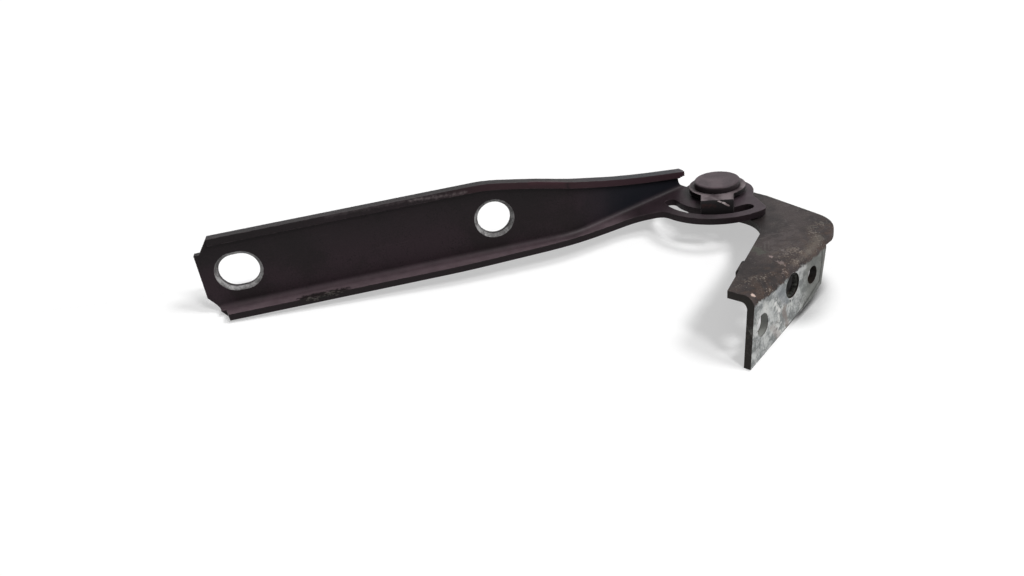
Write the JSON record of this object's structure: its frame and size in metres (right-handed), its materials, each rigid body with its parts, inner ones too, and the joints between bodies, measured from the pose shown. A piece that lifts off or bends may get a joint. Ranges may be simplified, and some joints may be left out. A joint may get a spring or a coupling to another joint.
{
  "type": "bonnet hinge",
  "caption": "Pressed-steel bonnet hinge: a long channel arm with bolt holes swings on a riveted pivot over a flanged body bracket, held within its travel by a tab in a curved slot.",
  "frame": {"origin": "axis of the middle hole in the bracket's flange, on the face that bolts to the body", "axes": "+Z along the pivot axis, towards the rivet's head; +X along the bonnet arm, towards the pivot, as the hinge stands half open; the bolted face looks to -Y and +X"},
  "size_m": [0.2283, 0.0965, 0.057],
  "materials": {
    "arm_paint": "satin",
    "bracket_steel": "satin",
    "rivet_paint": "satin",
    "washer_steel": "satin",
    "bush_bronze": "satin",
    "thrust_plastic": "matte"
  },
  "bodies": {
    "bracket": {"body_bracket": "bracket_steel", "pivot_rivet": "rivet_paint", "stop_washer": "rivet_paint", "spring_washer": "washer_steel", "thrust_washer": "thrust_plastic", "tail_washer": "washer_steel"},
    "arm": {"bonnet_arm": "arm_paint", "pivot_bush": "bush_bronze"}
  },
  "joints": [
    {"name": "arm_swing", "type": "hinge", "parent": "bracket", "child": "arm", "pos_m": [-0.00059, 0.06549, 0.0105], "axis": [0, 0, 1], "range_deg": [-20, 51]}
  ]
}
